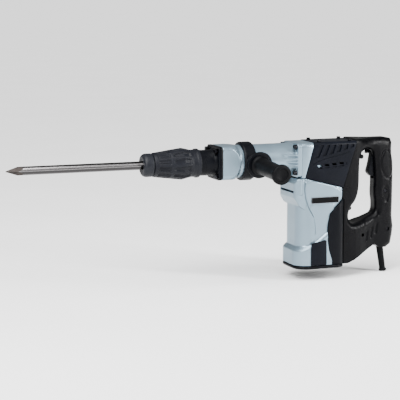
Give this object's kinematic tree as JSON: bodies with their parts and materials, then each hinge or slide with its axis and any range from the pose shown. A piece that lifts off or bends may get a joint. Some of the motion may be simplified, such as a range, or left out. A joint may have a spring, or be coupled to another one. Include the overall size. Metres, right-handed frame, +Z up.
{
  "type": "demolition hammer",
  "caption": "Corded demolition hammer with an upright motor, D-shaped rear handle, side handle and an inserted bull-point chisel bit.",
  "frame": {"origin": "on the motor's vertical axis, in the plane of the tail cover's flat underside", "axes": "+X forward along the bit, +Y to the side of the tool that carries the side handle, +Z up"},
  "size_m": [0.8855, 0.214, 0.3073],
  "materials": {
    "silver": "satin light grey paint",
    "black_plastic": "fine matt texture",
    "black_rubber": "matt",
    "bright_steel": "ground and polished",
    "ground_steel": "machined",
    "dark_steel": "black oxide",
    "copper": "wound wire and copper bars",
    "carbon": "matt"
  },
  "bodies": {
    "housing": {"front_cap": "black_rubber", "tool_holder": "ground_steel", "sleeve_spring": "ground_steel", "front_cover": "black_plastic", "front_gasket": "carbon", "cylinder_case": "silver", "cylinder_liner": "ground_steel", "crank_bearing_upper": "bright_steel", "crank_bearing_lower": "bright_steel", "armature_bearing_upper": "bright_steel", "armature_bearing_lower": "bright_steel", "crank_case": "silver", "crank_cover": "black_plastic", "motor_housing": "silver", "rear_cover": "black_plastic", "tail_cover": "black_plastic", "brush_cover_left": "black_plastic", "brush_cover_right": "black_plastic", "name_plate": "carbon", "stator_core": "dark_steel", "carbon_brush_left": "carbon", "carbon_brush_right": "carbon", "handle_left": "black_plastic", "handle_right": "black_plastic", "switch_body": "carbon", "cord_guard": "black_rubber", "front_bolt_1": "dark_steel", "front_bolt_2": "dark_steel", "front_bolt_3": "dark_steel", "front_bolt_4": "dark_steel", "case_bolt_1": "dark_steel", "case_bolt_2": "dark_steel", "case_bolt_3": "dark_steel", "case_bolt_4": "dark_steel", "cover_screw_1": "dark_steel", "cover_screw_2": "dark_steel", "cover_screw_3": "dark_steel", "cover_screw_4": "dark_steel"},
    "chisel": {"chisel_bit": "bright_steel"},
    "locking_sleeve": {"grip_sleeve": "black_rubber", "lock_ring": "ground_steel"},
    "roller_top": {"lock_roller_top": "bright_steel"},
    "roller_bottom": {"lock_roller_bottom": "bright_steel"},
    "impact": {"impact_bolt": "ground_steel"},
    "flying_striker": {"striker": "bright_steel"},
    "drive_piston": {"piston": "ground_steel"},
    "crank": {"crankshaft": "ground_steel", "crank_gear": "ground_steel"},
    "rod": {"connecting_rod": "ground_steel", "wrist_pin": "bright_steel"},
    "armature": {"armature_shaft": "ground_steel", "armature_core": "copper", "commutator": "copper", "cooling_fan": "black_plastic"},
    "trigger_lever": {"trigger": "black_plastic"},
    "lock_knob": {"lock_button": "black_plastic"},
    "side_handle": {"side_handle_band": "black_plastic"},
    "side_grip": {"side_handle_grip": "black_rubber"}
  },
  "joints": [
    {"name": "chisel_slide", "type": "slide", "parent": "housing", "child": "chisel", "axis": [1, 0, 0], "range_m": [0, 0.01]},
    {"name": "sleeve_slide", "type": "slide", "parent": "housing", "child": "locking_sleeve", "axis": [-1, 0, 0], "range_m": [0, 0.012], "stiffness_N_per_m": 2500, "springref_m": -0.008, "deforming": ["sleeve_spring"]},
    {"name": "roller_top_slide", "type": "slide", "parent": "housing", "child": "roller_top", "axis": [0, 0, 1], "range_m": [0, 0.0033]},
    {"name": "roller_bottom_slide", "type": "slide", "parent": "housing", "child": "roller_bottom", "axis": [0, 0, -1], "range_m": [0, 0.0033]},
    {"name": "impact_bolt_slide", "type": "slide", "parent": "housing", "child": "impact", "axis": [1, 0, 0], "range_m": [0, 0.01]},
    {"name": "striker_slide", "type": "slide", "parent": "housing", "child": "flying_striker", "axis": [1, 0, 0], "range_m": [-0.011, 0.018]},
    {"name": "piston_slide", "type": "slide", "parent": "housing", "child": "drive_piston", "axis": [1, 0, 0], "range_m": [0, 0.022]},
    {"name": "crank_turn", "type": "hinge", "parent": "housing", "child": "crank", "pos_m": [0.028, 0, 0.24], "axis": [0, 0, 1], "continuous": true},
    {"name": "rod_turn", "type": "hinge", "parent": "crank", "child": "rod", "pos_m": [0.017, 0, 0.24], "axis": [0, 0, 1], "continuous": true},
    {"name": "armature_turn", "type": "hinge", "parent": "housing", "child": "armature", "pos_m": [0, 0, 0.1], "axis": [0, 0, 1], "continuous": true},
    {"name": "trigger_pull", "type": "hinge", "parent": "housing", "child": "trigger_lever", "pos_m": [-0.147, 0, 0.252], "axis": [0, 1, 0], "range_deg": [0, 9], "stiffness_Nm_per_rad": 1.5, "springref_deg": -6.88},
    {"name": "lock_button_push", "type": "slide", "parent": "housing", "child": "lock_knob", "axis": [0, 0, 1], "range_m": [0, 0.0025], "stiffness_N_per_m": 800, "springref_m": -0.001},
    {"name": "side_handle_turn", "type": "hinge", "parent": "housing", "child": "side_handle", "pos_m": [0.17, 0, 0.24], "axis": [1, 0, 0], "continuous": true},
    {"name": "side_grip_screw", "type": "hinge", "parent": "side_handle", "child": "side_grip", "pos_m": [0.1485, 0.045, 0.235], "axis": [-0.0265, 0.9972, -0.0706], "range_deg": [0, 360]}
  ],
  "couplings": [
    {"joint": "roller_top_slide", "follows": "sleeve_slide", "ratio": 0.275},
    {"joint": "roller_bottom_slide", "follows": "sleeve_slide", "ratio": 0.275},
    {"joint": "rod_turn", "follows": "crank_turn", "ratio": -1},
    {"joint": "armature_turn", "follows": "crank_turn", "ratio": -6}
  ]
}
